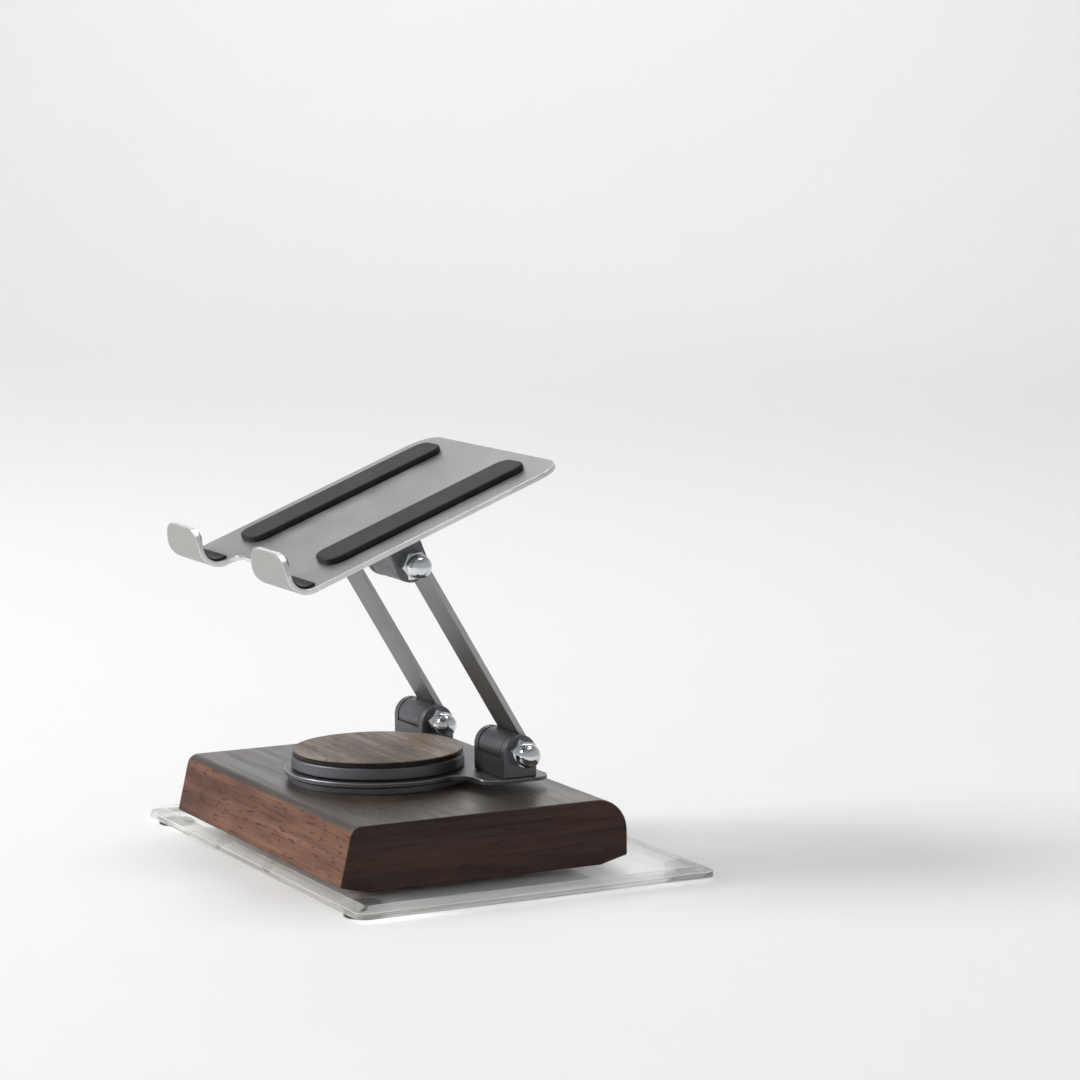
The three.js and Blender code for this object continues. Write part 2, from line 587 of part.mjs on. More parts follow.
// Rounds one of the lip's two upper corners by cutting away what lies outside a rounded front view.
function lipCorner(x, sx) {
  const radius = HOOK.lipCorner;
  const reach = HOOK.bendRadius;
  const corner = new THREE.Shape();
  corner.moveTo(0, reach);
  corner.lineTo(0, 0);
  corner.absarc(0, -radius, radius, Math.PI / 2, 0, true);
  corner.lineTo(radius + RUN_OUT, -radius);
  corner.lineTo(radius + RUN_OUT, reach);
  const tool = slab(corner, -reach / 2, reach / 2, 5);
  tool.rotateX(Math.PI / 2);
  if (sx < 0) tool.rotateZ(Math.PI);
  const top = lipTopZ + HOLDER.sheet * Math.sin(lipLean);
  const lipMiddle = slope(HOOK.lipOutside) + HOLDER.sheet;
  return tool.translate(x + sx * (HOOK.width / 2 - radius), lipMiddle, top);
}

function holderPlateGeometry() {
  const plate = slab(holderOutline(), holderBackZ, holderFaceZ, 6);
  const centres = SIDES.map(([, sx]) => sx * HOOK.spacing / 2);
  const start = slope(HOLDER.lowEdge);
  const hooks = centres.map((x) =>
    alongX(hookStrip(HOOK.bendRadius - HOLDER.sheet, HOOK.bendRadius, start, lipTopZ), HOOK.width)
      .translate(x, 0, 0));
  const corners = centres.flatMap((x) => [-1, 1].map((sx) => lipCorner(x, sx)));
  const holes = SIDES.flatMap(([, sx]) => lugScrewHoles(sx * LUG.spacing / 2, 0, holderFaceZ, false));
  return cut(join([plate, ...hooks]), [...corners, ...holes]);
}

// A thin silicone lining inside a hook.
function hookPadGeometry() {
  const inner = HOOK.bendRadius - HOLDER.sheet;
  const startY = slope(HOOK.lipOutside + HOOK.bendRadius + HOOK_PAD.start);
  const topZ = tabletFrontZ + HOOK_PAD.top;
  const strip = hookStrip(inner - HOOK_PAD.thickness, inner - FACE_GAP, startY, topZ);
  return toGeometry(toSolid(alongX(strip, HOOK_PAD.width)));
}

// A soft strip that the tablet's back lies on.
function facePadGeometry() {
  const { width, thickness, low, high, corner } = FACE_PAD;
  const outline = roundedRectangle(-width / 2, slope(low), width / 2, slope(high), corner);
  return slab(outline, 0, thickness - FACE_GAP, 5);
}

function buildHolder(parent) {
  const lean = THREE.MathUtils.degToRad(ARM.lean);
  const frame = new THREE.Group();
  frame.position.set(0, LUG_Y - ARM.length * Math.sin(lean), pinZ + ARM.length * Math.cos(lean));
  frame.rotation.x = THREE.MathUtils.degToRad(HOLDER.tilt);
  parent.add(frame);
  addPart(frame, 'holder_plate', holderPlateGeometry(), MATERIALS.holderMetal);
  for (const [side, sx] of SIDES) {
    const lug = lugFrame(frame, sx * LUG.spacing / 2, 0, holderBackZ - FACE_GAP, true);
    buildLug(lug, 'holder', side, HOLDER.sheet, Math.PI);
    addPart(frame, `face_pad_${side}`, facePadGeometry(), MATERIALS.rubber,
      [sx * LUG.spacing / 2, 0, holderFaceZ + FACE_GAP]);
    addPart(frame, `hook_pad_${side}`, hookPadGeometry(), MATERIALS.rubber, [sx * HOOK.spacing / 2, 0, 0]);
  }
}

// ---- assembly ------------------------------------------------------------------------------

const stand = new THREE.Group();
buildBase(stand);
buildSwivel(stand);
buildArms(stand);
buildHolder(stand);

// The origin is the middle of the whole footprint, on the table.
stand.updateMatrixWorld(true);
const middle = new THREE.Box3().setFromObject(stand, true).getCenter(new THREE.Vector3());
stand.position.set(-middle.x, -middle.y, 0);

export default stand;
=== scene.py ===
"""Tablet stand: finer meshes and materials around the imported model, in the model's own frame."""
import json
import math

import bmesh
import bpy
from mathutils import Matrix, Vector


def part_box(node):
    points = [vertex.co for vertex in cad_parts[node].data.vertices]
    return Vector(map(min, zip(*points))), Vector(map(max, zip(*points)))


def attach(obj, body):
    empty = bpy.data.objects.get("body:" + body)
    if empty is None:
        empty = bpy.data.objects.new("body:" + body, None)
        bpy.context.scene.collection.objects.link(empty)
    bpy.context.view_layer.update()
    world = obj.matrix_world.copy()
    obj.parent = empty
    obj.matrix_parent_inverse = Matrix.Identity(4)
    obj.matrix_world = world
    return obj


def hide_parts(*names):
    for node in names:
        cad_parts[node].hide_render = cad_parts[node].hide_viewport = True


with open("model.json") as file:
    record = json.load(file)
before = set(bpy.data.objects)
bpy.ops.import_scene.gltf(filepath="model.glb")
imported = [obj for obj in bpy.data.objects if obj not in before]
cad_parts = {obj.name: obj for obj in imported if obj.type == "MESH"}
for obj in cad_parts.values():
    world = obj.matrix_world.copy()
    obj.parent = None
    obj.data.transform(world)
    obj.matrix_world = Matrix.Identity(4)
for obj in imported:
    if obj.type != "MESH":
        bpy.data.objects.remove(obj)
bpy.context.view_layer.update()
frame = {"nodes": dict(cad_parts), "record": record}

MM = 0.001

# ---- driving dimensions, in millimetres ------------------------------------------------------

BLOCK = {
    "front_lean": 3.7, "undercut_run": 8, "undercut_rise": 2, "front_radius": 3.2, "back_radius": 9,
    "low_radius": 0.6, "end_radius": 1.4,
}
BOLT_POCKET = {"radius": 7.2, "depth": 5.2, "hole_radius": 3.2}
CLEAR_PLATE = {"bevel_run": 3.2, "bevel_drop": 1.3, "corner": 3.5, "edge": 0.2}
BOND_FILM = {"corner": 5}
FOOT = {"hollow": 0.18, "hollow_share": 0.55, "rim_share": 0.62, "rim_radius": 0.3, "low_radius": 0.45,
        "high_radius": 0.15}
LOWER_DISC = {"low_radius": 0.2, "high_radius": 0.35}
TAPE_RING = {"inner": 7.7}
CAP_RING = {"inner": 7.6, "low_radius": 0.35, "high_radius": 0.5}
INLAY = {"low_radius": 0.15, "high_radius": 0.4, "rim": 2}
SWIVEL_PLATE = {
    "radius": 25.8, "tail_half_width": 35.7, "tail_front": 15.5, "tail_back": 35.7, "waist": 4,
    "corner": 4.5, "edge": 0.22, "bore": 3.07,
}
LUG = {"pin_height": 6.94, "slot_width": 14.1, "floor": 1.9, "eye_gap": 0.3, "edge": 0.5, "slot_edge": 0.1}
BORE_RADIUS = 2.07
BOLT = {
    "radius": 2, "head_radius": 3.8, "head_height": 2.2, "crown": 1.6, "point_chamfer": 0.4, "edge": 0.08,
    "socket": 2.5, "socket_depth": 1.3, "reach": 4.2,
}
NUT = {
    "across_flats": 7, "hex_height": 3.2, "dome_radius": 3.25, "height": 8, "collar": 0.45,
    "bore_depth": 5, "edge": 0.07, "turn": 14,
}
WASHER = {"thickness": 0.5, "radius": 4.6}
ARM = {"width": 13, "eye_radius": 4.75, "thickness": 1.5, "edge": 0.18}
HOLDER = {"sheet": 1.4, "back": 6.94, "corner": 8, "notch_radius": 3, "notch_edge": -26.3, "edge": 0.16}
HOOK = {
    "width": 23.6, "bend_y": -30, "bend_radius": 6, "bend_degrees": 102, "lip": 5.67, "lip_corner": 5.5,
}
HOOK_PAD = {
    "width": 20, "thickness": 0.6, "lip": 4.3, "start": 1.5, "tip_corner": 2, "start_corner": 0.5,
    "edge": 0.15,
}
FACE_PAD = {"corner": 4, "edge": 0.5, "thickness": 1.78}
FACE_GAP = 0.02
RUN_OUT = 1
ARC_STEPS = 12
TURNED_STEPS = 96

# The camera is placed from the swivel's axis, at the height of the block's top. Offsets are in metres.
CAMERA = {
    "offset": (0.9044, -0.4052, 0.1957), "azimuth": 63.26, "pitch": -7.5, "roll": -0.52, "lens": 122.07,
}

# The studio, in metres: a round floor, the curve that rises from it and the wall above that.
STUDIO = {"floor_radius": 1.7, "cove": 1.2, "wall": 3.2, "segments": 128, "below_feet": 0.00002}


# ---- outlines --------------------------------------------------------------------------------

def arc(centre, radius, start, end, steps=ARC_STEPS):
    """Points on an arc, between two angles in degrees."""
    angles = [math.radians(start + (end - start) * i / steps) for i in range(steps + 1)]
    return [(centre[0] + radius * math.cos(a), centre[1] + radius * math.sin(a)) for a in angles]


def fillet(corners, closed=True, steps=8):
    """Rounds a polygon. Each corner is (a, b) or (a, b, radius)."""
    points = []
    count = len(corners)
    for i, corner in enumerate(corners):
        here = Vector(corner[:2])
        radius = corner[2] if len(corner) > 2 else 0
        if radius == 0 or (not closed and i in (0, count - 1)):
            points.append(tuple(here))
            continue
        before = (Vector(corners[i - 1][:2]) - here).normalized()
        after = (Vector(corners[(i + 1) % count][:2]) - here).normalized()
        half = before.angle(after) / 2
        centre = here + (before + after).normalized() * (radius / math.sin(half))
        start = here + before * (radius / math.tan(half)) - centre
        turn = (here + after * (radius / math.tan(half)) - centre).angle_signed(start)
        for k in range(steps + 1):
            points.append(tuple(centre + Matrix.Rotation(turn * k / steps, 2) @ start))
    return points


def round_rectangle(half_width, half_depth, corner):
    """A rectangle about the origin with round corners."""
    x, y = half_width, half_depth
    return fillet([(-x, -y, corner), (x, -y, corner), (x, y, corner), (-x, y, corner)])


# ---- solids ----------------------------------------------------------------------------------

def make_object(name, bm):
    """A new mesh object from a bmesh whose measures are millimetres."""
    bmesh.ops.remove_doubles(bm, verts=bm.verts, dist=1e-5)
    bmesh.ops.recalc_face_normals(bm, faces=bm.faces)
    mesh = bpy.data.meshes.new(name)
    bm.to_mesh(mesh)
    bm.free()
    obj = bpy.data.objects.new(name, mesh)
    bpy.context.scene.collection.objects.link(obj)
    return obj


def prism(name, outline, low, high, across="z"):
    """A closed solid whose outline runs from low to high across Z, or across X."""
    place = {"x": lambda p, h: (h, p[0], p[1]), "z": lambda p, h: (p[0], p[1], h)}[across]
    bm = bmesh.new()
    bottom = [bm.verts.new(place(p, low)) for p in outline]
    top = [bm.verts.new(place(p, high)) for p in outline]
    bm.faces.new(bottom[::-1])
    bm.faces.new(top)
    for i, corner in enumerate(bottom):
        bm.faces.new((corner, bottom[i - 1], top[i - 1], top[i]))
    return make_object(name, bm)


def turned(name, profile, segments=TURNED_STEPS, hollow=False):
    """A turned solid on the Z axis; the profile is (radius, height) and closes on itself if hollow."""
    bm = bmesh.new()
    rings = []
    for radius, height in profile:
        angles = [2 * math.pi * i / segments for i in range(segments)]
        if radius < 1e-9:
            rings.append([bm.verts.new((0, 0, height))] * segments)
        else:
            circle = [(radius * math.cos(a), radius * math.sin(a), height) for a in angles]
            rings.append([bm.verts.new(point) for point in circle])
    pairs = list(zip(rings, rings[1:] + rings[:1]))
    for low, high in pairs if hollow else pairs[:-1]:
        for i in range(segments):
            corners = list(dict.fromkeys((low[i - 1], low[i], high[i], high[i - 1])))
            if len(corners) > 2:
                bm.faces.new(corners)
    return make_object(name, bm)


def apply_modifiers(obj):
    """Puts what the modifiers make into the mesh itself."""
    mesh = bpy.data.meshes.new_from_object(obj.evaluated_get(bpy.context.evaluated_depsgraph_get()))
    obj.modifiers.clear()
    obj.data = mesh


def boolean(obj, tools, operation):
    """Cuts the tools out of a solid, or joins them to it, or keeps what they share."""
    for tool in tools:
        modifier = obj.modifiers.new("boolean", "BOOLEAN")
        modifier.operation = operation
        modifier.solver = "EXACT"
        modifier.object = tool
        apply_modifiers(obj)
        bpy.data.objects.remove(tool)
    return obj


def soften(obj, width, segments=3, angle=35, material=-1):
    """Rounds every edge sharper than angle."""
    modifier = obj.modifiers.new("bevel", "BEVEL")
    modifier.width = width
    modifier.segments = segments
    modifier.limit_method = "ANGLE"
    modifier.angle_limit = math.radians(angle)
    modifier.material = material
    modifier.use_clamp_overlap = True
    apply_modifiers(obj)
    return obj


def shade(obj, angle=30):
    """Smooth shading across every edge flatter than angle, with large faces kept flat."""
    obj.data.polygons.foreach_set("use_smooth", [True] * len(obj.data.polygons))
    obj.data.set_sharp_from_angle(angle=math.radians(angle))
    modifier = obj.modifiers.new("normals", "WEIGHTED_NORMAL")
    modifier.keep_sharp = True
    modifier.weight = 80
    return obj


def rod(radius, low, high, segments=48, axis="z"):
    """A plain cutter on the Z or the X axis."""
    tool = turned("cutter", [(0, low), (radius, low), (radius, high), (0, high)], segments)
    if axis == "x":
        tool.data.transform(Matrix.Rotation(math.pi / 2, 4, "Y"))
    return tool


def box_cutter(low, high):
    """A box between two corners, for cutting."""
    outline = [(low[0], low[1]), (high[0], low[1]), (high[0], high[1]), (low[0], high[1])]
    return prism("cutter", outline, low[2], high[2])


def hexagon(across_flats):
    """The corners of a hexagon about the origin."""
    corner = across_flats / math.sqrt(3)
    return [(corner * math.cos(i * math.pi / 3), corner * math.sin(i * math.pi / 3)) for i in range(6)]


def settle(obj, place, body, node, materials=()):
    """Puts a piece made in millimetres in its place, with its materials, hangs it under its body's empty
    and hides the node it replaces.
    """
    obj.data.transform(place @ Matrix.Scale(MM, 4))
    if not obj.data.materials:
        for material in materials:
            obj.data.materials.append(material)
    shade(obj)
    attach(obj, body)
    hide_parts(node)
    return obj


def paint(obj, index, wanted):
    """Gives a material index to every face for which wanted(centre, normal) is true."""
    for face in obj.data.polygons:
        if wanted(face.center, face.normal):
            face.material_index = index


# ---- places, all read from the frame ---------------------------------------------------------

def middle(node):
    """The middle of a node's box, in metres."""
    low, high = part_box(node)
    return (low + high) / 2


def size_mm(node):
    """The size of a node's box, in millimetres."""
    low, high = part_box(node)
    return (high - low) / MM


def at(x, y, z):
    return Matrix.Translation((x, y, z))


axis_x, axis_y = middle("lower_disc")[:2]
lower_pin = middle("base_hinge_bolt_left")
upper_pin = middle("holder_hinge_bolt_left")
arm_lean = math.atan2(lower_pin.y - upper_pin.y, upper_pin.z - lower_pin.z)
tablet_rest = next(m for m in frame["record"]["mounts"] if m["name"] == "tablet_rest")
holder_tilt = math.atan2(-tablet_rest["axis"][1], tablet_rest["axis"][2])
SIDES = ("left", "right")


def on_axis(node):
    """The swivel's axis, at the height of the node's underside."""
    return at(axis_x, axis_y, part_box(node)[0].z)


def on_middle(node):
    """The middle of the node's box, at the height of its underside."""
    centre = middle(node)
    return at(centre.x, centre.y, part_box(node)[0].z)


def holder_frame(x):
    """The upper pin, turned to the holder's slope: its Y runs up the plate."""
    return at(x, upper_pin.y, upper_pin.z) @ Matrix.Rotation(holder_tilt, 4, "X")


# ---- materials -------------------------------------------------------------------------------

def new_material(name, **settings):
    """A material with some of its shader's sockets set."""
    material = bpy.data.materials.new(name)
    material.use_nodes = True
    shader = material.node_tree.nodes["Principled BSDF"]
    for socket, value in settings.items():
        shader.inputs[socket.replace("_", " ")].default_value = value
    return material


def add(material, kind, settings=None, **inputs):
    """Adds a node; an input is a number, a vector or another node's output."""
    made = material.node_tree.nodes.new(kind)
    for key, value in (settings or {}).items():
        setattr(made, key, value)
    for key, value in inputs.items():
        socket = made.inputs[int(key[1:])] if key[0] == "_" else made.inputs[key.replace("_", " ")]
        if isinstance(value, bpy.types.NodeSocket):
            material.node_tree.links.new(value, socket)
        else:
            socket.default_value = value
    return made


def connect(material, output, socket):
    """Feeds a node's output to one of the shader's sockets."""
    shader = material.node_tree.nodes["Principled BSDF"]
    material.node_tree.links.new(output, shader.inputs[socket])


def noise(material, scale, detail=3.0, roughness=0.5, distortion=0.0, turn=(0, 0, 0), shift=(0, 0, 0)):
    """Noise in the piece's own metres, stretched by a scale for each axis."""
    place = add(material, "ShaderNodeTexCoord").outputs["Object"]
    turned_place = add(material, "ShaderNodeMapping", Vector=place, Rotation=turn).outputs[0]
    mapping = add(material, "ShaderNodeMapping", Vector=turned_place, Scale=scale, Location=shift)
    texture = add(material, "ShaderNodeTexNoise", Vector=mapping.outputs[0], Scale=1.0, Detail=detail,
                  Roughness=roughness, Distortion=distortion)
    return texture.outputs["Fac"]


def ramp(material, value, *stops):
    """Maps a number to a colour or a grey; each stop is (position, colour or number)."""
    made = add(material, "ShaderNodeValToRGB", Fac=value)
    elements = made.color_ramp.elements
    while len(elements) < len(stops):
        elements.new(0.5)
    for element, (position, colour) in zip(elements, stops):
        element.position = position
        element.color = (*colour, 1) if isinstance(colour, tuple) else (colour, colour, colour, 1)
    return made.outputs["Color"]


def mix(material, kind, factor, first, second):
    """Blends two colours, for instance with kind MULTIPLY."""
    made = add(material, "ShaderNodeMix", {"data_type": "RGBA", "blend_type": kind}, _0=factor, _6=first,
               _7=second)
    return made.outputs[2]


def bump(material, height, strength, distance):
    """Relief of a given depth in metres."""
    made = add(material, "ShaderNodeBump", Height=height, Strength=strength, Distance=distance)
    connect(material, made.outputs[0], "Normal")


def walnut(name, dark, middle_tone, light, shift=(0, 0, 0), grain="x", pores=0.85, gloss=0.25, polish=0.42):
    """Oiled walnut: broad tone, growth streaks, fibres and short open pores, drawn out along the grain."""
    material = new_material(name, Specular_IOR_Level=gloss)

    def drawn_out(along, across, detail, roughness, distortion=0.0):
        scale = (along, across, across) if grain == "x" else (across, along, across)
        return noise(material, scale, detail, roughness, distortion, shift=shift)

    tone = drawn_out(11, 48, 3, 0.55, 0.5)
    streaks = drawn_out(14, 330, 4, 0.6, 0.5)
    lines = drawn_out(40, 1300, 3, 0.6, 0.3)
    fibres = drawn_out(110, 3200, 2, 0.6)
    base = ramp(material, tone, (0.30, dark), (0.50, middle_tone), (0.74, light))
    streaked = mix(material, "MULTIPLY", 0.7, base, ramp(material, streaks, (0.36, 0.55), (0.58, 1.0)))
    lined = mix(material, "MULTIPLY", 0.6, streaked, ramp(material, lines, (0.36, 0.6), (0.56, 1.0)))
    fibrous = mix(material, "MULTIPLY", 0.5, lined, ramp(material, fibres, (0.35, 0.7), (0.62, 1.0)))
    pore_mask = ramp(material, drawn_out(200, 1900, 1.5, 0.45), (0.34, 0.0), (0.38, 1.0))
    shadow = mix(material, "MIX", pore_mask, (0.20, 0.16, 0.15, 1), (1, 1, 1, 1))
    connect(material, mix(material, "MULTIPLY", pores, fibrous, shadow), "Base Color")
    connect(material, ramp(material, streaks, (0.3, polish + 0.18), (0.7, polish)), "Roughness")
    bump(material, mix(material, "MULTIPLY", 0.35, pore_mask, fibres), 0.4, 0.00014)
    return material


def satin_metal(name, colour, roughness, brushed=None, turn=(0, 0, 0), metallic=0.85):
    """Anodised or blasted metal: fine grain and faint cloudiness, brushed along one way if asked for."""
    material = new_material(name, Metallic=metallic)
    cloud = noise(material, (70, 70, 70), 3, 0.55)
    fine = noise(material, brushed or (5200, 5200, 5200), 2, 0.6, turn=turn)
    lighter = tuple(min(1.0, c * 1.12) for c in colour)
    darker = tuple(c * 0.88 for c in colour)
    base = ramp(material, cloud, (0.3, darker), (0.7, lighter))
    connect(material, mix(material, "MULTIPLY", 0.5, base, ramp(material, fine, (0.3, 0.8), (0.7, 1.0))),
            "Base Color")
    finish = ramp(material, cloud, (0.3, roughness - 0.06), (0.7, roughness + 0.08))
    connect(material, finish, "Roughness")
    bump(material, fine, 0.12, 0.00003)
    return material


def polished_metal(name, colour, roughness):
    """Bright plating with faint smudges."""
    material = new_material(name, Metallic=1.0)
    smudges = noise(material, (260, 260, 260), 4, 0.6)
    connect(material, ramp(material, smudges, (0.35, roughness), (0.75, roughness * 2.4)), "Roughness")
    duller = tuple(c * 0.93 for c in colour)
    connect(material, ramp(material, smudges, (0.2, colour), (0.8, duller)), "Base Color")
    return material


def rubber(name, colour, roughness):
    """Matt rubber or silicone with a fine speckle and a little dust."""
    material = new_material(name, Specular_IOR_Level=0.35)
    speckle = noise(material, (3800, 3800, 3800), 2, 0.6)
    dust = noise(material, (120, 120, 120), 4, 0.6)
    dusty = tuple(min(1.0, c * 1.7 + 0.006) for c in colour)
    connect(material, ramp(material, dust, (0.45, colour), (0.75, dusty)), "Base Color")
    finish = ramp(material, speckle, (0.3, roughness - 0.1), (0.7, roughness + 0.08))
    connect(material, finish, "Roughness")
    bump(material, speckle, 0.25, 0.00004)
    return material


def plastic(name, colour, roughness=0.5):
    """Moulded plastic, faintly mottled."""
    material = new_material(name)
    mottle = noise(material, (900, 900, 900), 3, 0.6)
    darker = tuple(c * 0.85 for c in colour)
    connect(material, ramp(material, mottle, (0.3, darker), (0.7, colour)), "Base Color")
    finish = ramp(material, mottle, (0.3, roughness - 0.07), (0.7, roughness + 0.07))
    connect(material, finish, "Roughness")
    bump(material, mottle, 0.1, 0.00003)
    return material


def clear_acrylic(name, roughness=0.015, solid=0.36):
    """Clear cast acrylic with faint wipe marks; solid is the share of light that it bends or reflects."""
    material = new_material(name, Transmission_Weight=1.0, IOR=1.49, Alpha=solid)
    marks = noise(material, (40, 300, 300), 4, 0.65, 0.5)
    connect(material, ramp(material, marks, (0.5, roughness), (0.85, roughness * 4)), "Roughness")
    connect(material, ramp(material, marks, (0.2, (0.955, 0.972, 0.966)), (0.8, (0.975, 0.985, 0.98))),
            "Base Color")
    return material


def acrylic_edge_painted_reflections(name, dark, pale, reflected_patches, solid):
    """A polished edge of the clear plate with painted light: a pale painted highlight, with lines and
    patches of painted reflection standing for what shows inside it.
    """
    material = new_material(name, Transmission_Weight=0.35, IOR=1.49, Alpha=solid)
    lines = noise(material, (14, 14, 1500), 3, 0.6, 0.2)
    reflected_dashes = noise(material, (85, 85, 260), 1.5, 0.5, 0.3, shift=(0.4, 0.8, 0.2))
    # Painted reflections: the dark and pale lines and the patches stand for what the acrylic reflects and
    # shows through it.
    streaked = ramp(material, lines, (0.38, dark), (0.60, pale))
    reflection_patched = ramp(material, reflected_dashes, (0.34, reflected_patches), (0.39, (1.0, 1.0, 1.0)))
    connect(material, mix(material, "MULTIPLY", 1.0, streaked, reflection_patched), "Base Color")
    connect(material, ramp(material, lines, (0.3, 0.04), (0.7, 0.10)), "Roughness")
    bump(material, lines, 0.08, 0.00004)
    return material


WALNUT = walnut("walnut", (0.105, 0.040, 0.022), (0.215, 0.092, 0.052), (0.310, 0.148, 0.086),
                pores=0.95)
# Painted shade: a darker copy of the walnut for the block's top, standing for the shade that falls on it.
WALNUT_TOP_PAINTED_SHADE = walnut("walnut_top_painted_shade", (0.024, 0.013, 0.008), (0.056, 0.033, 0.021), (0.120, 0.078, 0.052),
                    gloss=0.9, polish=0.27)
# End grain and painted shade: a much darker copy of the walnut for the block's ends, darker than end grain
# alone, for the shade on the ends.
WALNUT_END_GRAIN_AND_SHADE = walnut("walnut_end_grain_and_painted_shade", (0.020, 0.010, 0.008), (0.040, 0.020, 0.015), (0.070, 0.032, 0.022),
                    shift=(0.3, 0.1, 0), grain="y", pores=0.4)
WALNUT_DISC = walnut("walnut_disc", (0.170, 0.118, 0.084), (0.330, 0.245, 0.188), (0.470, 0.365, 0.285),
                     shift=(1.7, 2.4, 0.6), gloss=0.5)
# Painted shade: a near-black copy of the walnut for the walnut disc's side and underside.
WALNUT_RIM_PAINTED_SHADE = walnut("walnut_rim_painted_shade", (0.014, 0.009, 0.007), (0.028, 0.019, 0.015), (0.046, 0.032, 0.025),
                    shift=(0.9, 0.2, 0.4))
DARK_METAL = satin_metal("dark_anodised", (0.150, 0.155, 0.168), 0.42)
DARK_METAL_EDGE = satin_metal("dark_anodised_edge", (0.34, 0.35, 0.37), 0.32)
ARM_METAL = satin_metal("arm_satin", (0.225, 0.225, 0.218), 0.42, brushed=(3400, 3400, 120),
                        turn=(-arm_lean, 0, 0))
ARM_EDGE = satin_metal("arm_cut_edge", (0.40, 0.41, 0.42), 0.36)
SILVER = satin_metal("holder_silver", (0.42, 0.42, 0.41), 0.40)
SILVER_EDGE = satin_metal("holder_cut_edge", (0.80, 0.80, 0.80), 0.28)
CHROME = polished_metal("chrome", (0.72, 0.75, 0.77), 0.04)
STEEL = satin_metal("zinc_steel", (0.48, 0.48, 0.47), 0.30, metallic=1.0)
NYLON = plastic("dark_nylon", (0.060, 0.062, 0.068))
FOAM = rubber("foam_tape", (0.020, 0.020, 0.021), 0.85)
RUBBER = rubber("foot_rubber", (0.014, 0.014, 0.015), 0.62)
ADHESIVE = plastic("foot_adhesive", (0.55, 0.56, 0.55), 0.4)
SILICONE = rubber("pad_silicone", (0.010, 0.010, 0.011), 0.55)
ACRYLIC = clear_acrylic("clear_acrylic")
# Painted reflections on the plate's side and bevel, and a near-white painted highlight on its rounded
# edges.
ACRYLIC_SIDE_PAINTED_REFLECTIONS = acrylic_edge_painted_reflections("clear_acrylic_side_painted_reflections", dark=(0.42, 0.43, 0.39), pale=(0.78, 0.79, 0.74),
                            reflected_patches=(0.34, 0.35, 0.26), solid=0.76)
ACRYLIC_BEVEL_PAINTED_REFLECTIONS = acrylic_edge_painted_reflections("clear_acrylic_bevel_painted_reflections", dark=(0.56, 0.56, 0.53), pale=(0.80, 0.80, 0.77),
                             reflected_patches=(0.80, 0.80, 0.78), solid=0.60)
ACRYLIC_LINE_PAINTED_HIGHLIGHT = acrylic_edge_painted_reflections("clear_acrylic_line_painted_highlight", dark=(0.90, 0.90, 0.89), pale=(0.98, 0.98, 0.97),
                            reflected_patches=(0.9, 0.9, 0.9), solid=0.95)
FILM = clear_acrylic("bond_film", 0.08)

SLOT_MATERIALS = {
    "acrylic": ACRYLIC, "bond_film": FILM, "foot_rubber": RUBBER, "walnut": WALNUT,
    "walnut_inlay": WALNUT_DISC, "dark_aluminium": DARK_METAL, "arm_steel": ARM_METAL,
    "holder_aluminium": SILVER, "chrome": CHROME, "steel": STEEL, "nylon": NYLON, "pad_rubber": SILICONE,
}


def repaint_cad_nodes():
    """Every node that stays as it is gets its slot's finish."""
    slots = {part["node"]: part["material_slot"] for part in frame["record"]["subparts"]}
    for name, obj in frame["nodes"].items():
        obj.data.materials.clear()
        obj.data.materials.append(SLOT_MATERIALS[slots[name]])


# ---- base ------------------------------------------------------------------------------------

def build_block():
    """A walnut block with a leaning front, a rounded back and undercut long edges."""
    width, _, height = size_mm("walnut_block")
    low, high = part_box("walnut_block")
    front = (low.y - axis_y) / MM
    back = (high.y - axis_y) / MM
    run, rise = BLOCK["undercut_run"], BLOCK["undercut_rise"]
    small = BLOCK["low_radius"]
    outline = fillet([
        (front + run, 0, small), (back - run, 0, small), (back, rise, small),
        (back, height, BLOCK["back_radius"]),
        (front + BLOCK["front_lean"], height, BLOCK["front_radius"]),
        (front, rise, small),
    ], steps=14)
    block = prism("walnut_block_body", outline, -width / 2, width / 2, "x")
    soften(block, BLOCK["end_radius"], 5, 60)
    wide, deep, hole = BOLT_POCKET["radius"], BOLT_POCKET["depth"], BOLT_POCKET["hole_radius"]
    above = height + RUN_OUT
    pocket = [(0, -RUN_OUT), (wide, -RUN_OUT), (wide, deep), (hole, deep), (hole, above), (0, above)]
    boolean(block, [turned("cutter", pocket, 64)], "DIFFERENCE")
    settle(block, at(axis_x, axis_y, low.z), "base", "walnut_block",
           [WALNUT, WALNUT_END_GRAIN_AND_SHADE, WALNUT_TOP_PAINTED_SHADE])
    # Painted shade: the top faces get the darker copy of the walnut.
    paint(block, 2, lambda centre, normal: normal.z > 0.55)
    # End grain and painted shade: the end faces get the much darker copy of the walnut.
    paint(block, 1, lambda centre, normal: abs(normal.x) > 0.6)


